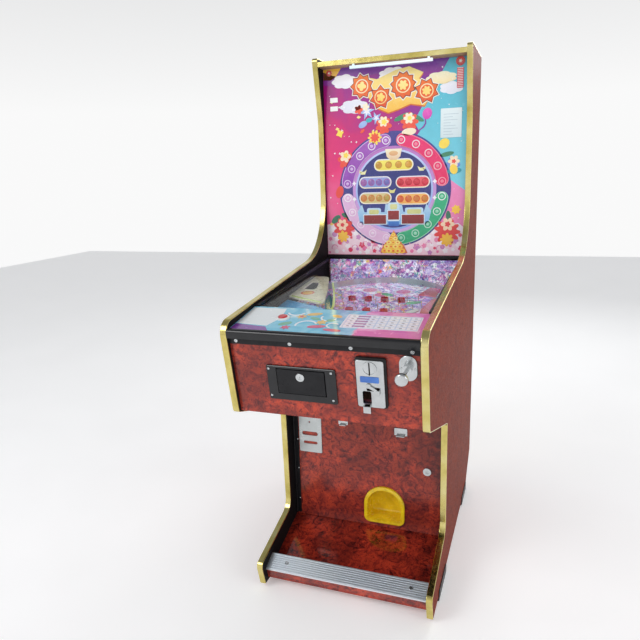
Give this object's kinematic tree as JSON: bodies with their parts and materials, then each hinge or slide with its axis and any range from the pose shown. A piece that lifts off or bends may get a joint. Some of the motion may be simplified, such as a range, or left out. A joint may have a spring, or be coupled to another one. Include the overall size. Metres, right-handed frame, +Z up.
{
  "type": "pachinko machine",
  "caption": "Upright ball game cabinet with a tilted glazed playfield, art head, pull plunger, coin entry, drawer and a pedestal door with a payout cup.",
  "frame": {"origin": "bottom centre of the whole machine's box, on the floor", "axes": "+Z up, +X to the player's right, +Y from the front towards the back"},
  "size_m": [0.586, 1.2203, 1.76],
  "materials": {
    "burl_laminate": "glossy red-brown burl laminate",
    "side_laminate": "satin dark red-brown laminate",
    "deck_laminate": "high-gloss red-brown laminate",
    "plain_board": "unfinished board",
    "playfield": "printed lacquered board",
    "gold_moulding": "metallic gold plastic",
    "black_plastic": "black, satin",
    "black_gloss": "black, glossy",
    "apron_print": "printed control apron",
    "art_panel": "printed translucent art panel",
    "glass": "clear",
    "white_plastic": "white, glossy",
    "red_plastic": "red, glossy",
    "yellow_plastic": "yellow, glossy",
    "grey_plastic": "light grey, glossy",
    "chrome": "polished",
    "brushed": "brushed",
    "dark_steel": "black enamel",
    "aluminium": "ribbed, satin",
    "brass": "polished nails",
    "steel_ball": "polished balls",
    "zinc": "zinc plated"
  },
  "bodies": {
    "cabinet": {"side_panel_left": "side_laminate", "side_panel_right": "side_laminate", "edge_moulding_left": "gold_moulding", "edge_moulding_right": "gold_moulding", "glide_feet": "black_plastic", "base_board": "plain_board", "toe_deck": "deck_laminate", "kick_board": "burl_laminate", "step_plate": "aluminium", "underside_board": "side_laminate", "roof_board": "plain_board", "header_moulding": "gold_moulding", "back_panels": "plain_board", "front_panel": "burl_laminate", "screw_strip": "dark_steel", "front_moulding": "black_gloss", "apron_panel": "apron_print", "button_bezel": "white_plastic", "coin_box_bezel": "black_gloss", "coin_plate": "chrome", "coin_mech_body": "black_plastic", "plunger_housing": "chrome", "playfield_board": "playfield", "playfield_pins": "brass", "playfield_pockets": "red_plastic", "ball_guides": "brushed", "corner_arch": "grey_plastic", "playfield_glass": "glass", "glass_channels": "black_plastic", "steel_balls": "steel_ball", "backglass": "art_panel", "lamp_board": "plain_board", "light_bar": "white_plastic", "rear_hinge_fixed": "zinc", "door_strike": "zinc", "door_hinge_fixed_leaf": "dark_steel", "door_hinge_pin": "zinc", "power_box": "zinc", "payout_hopper": "zinc", "cabinet_screws": "chrome"},
    "plunger": {"plunger_rod": "chrome", "plunger_knob": "chrome", "plunger_spring": "zinc"},
    "start_button": {"button_cap": "red_plastic"},
    "reject_lever": {"coin_reject_lever": "chrome"},
    "drawer": {"coin_drawer": "dark_steel", "drawer_lock_body": "chrome"},
    "drawer_key": {"drawer_lock_plug": "chrome"},
    "front_door": {"lower_door": "burl_laminate", "door_hinge_moving_leaf": "dark_steel", "door_lock_body": "chrome", "payout_cup": "yellow_plastic", "service_plate": "brushed", "door_tabs": "chrome"},
    "front_door_key": {"door_lock_plug": "chrome"},
    "back_door": {"rear_door": "plain_board", "rear_hinge_moving": "zinc", "rear_lock_body": "chrome"},
    "back_door_key": {"rear_lock_plug": "chrome"},
    "hopper_wheel": {"hopper_disc": "zinc"}
  },
  "joints": [
    {"name": "plunger_pull", "type": "slide", "parent": "cabinet", "child": "plunger", "axis": [0, -0.9986, -0.0523], "range_m": [0, 0.055], "stiffness_N_per_m": 250, "springref_m": -0.03, "deforming": ["plunger_spring"]},
    {"name": "button_press", "type": "slide", "parent": "cabinet", "child": "start_button", "axis": [0, 0.1529, -0.9882], "range_m": [0, 0.0035], "stiffness_N_per_m": 400, "springref_m": -0.003},
    {"name": "reject_push", "type": "hinge", "parent": "cabinet", "child": "reject_lever", "pos_m": [0.13, -0.51593, 0.79933], "axis": [0, 0.9826, 0.1857], "range_deg": [0, 22], "stiffness_Nm_per_rad": 0.05, "springref_deg": -22.92},
    {"name": "drawer_slide", "type": "slide", "parent": "cabinet", "child": "drawer", "axis": [0, -0.9826, -0.1857], "range_m": [0, 0.18]},
    {"name": "drawer_key_turn", "type": "hinge", "parent": "drawer", "child": "drawer_key", "pos_m": [-0.065, -0.51275, 0.804], "axis": [0, -0.9826, -0.1857], "range_deg": [0, 90]},
    {"name": "front_door_swing", "type": "hinge", "parent": "cabinet", "child": "front_door", "pos_m": [-0.2662, -0.09552, 0.32], "axis": [0, 0, -1], "range_deg": [0, 90]},
    {"name": "front_door_key_turn", "type": "hinge", "parent": "front_door", "child": "front_door_key", "pos_m": [0.217, -0.09212, 0.348], "axis": [0, -1, 0], "range_deg": [0, 90]},
    {"name": "back_door_swing", "type": "hinge", "parent": "cabinet", "child": "back_door", "pos_m": [-0.266, 0.60708, 1.15], "axis": [0, 0, 1], "range_deg": [0, 110]},
    {"name": "back_door_key_turn", "type": "hinge", "parent": "back_door", "child": "back_door_key", "pos_m": [0.236, 0.60588, 1.15], "axis": [0, -1, 0], "range_deg": [0, 90]},
    {"name": "hopper_spin", "type": "hinge", "parent": "cabinet", "child": "hopper_wheel", "pos_m": [0.06, 0.15088, 0.166], "axis": [0, -0.342, 0.9397], "continuous": true}
  ]
}
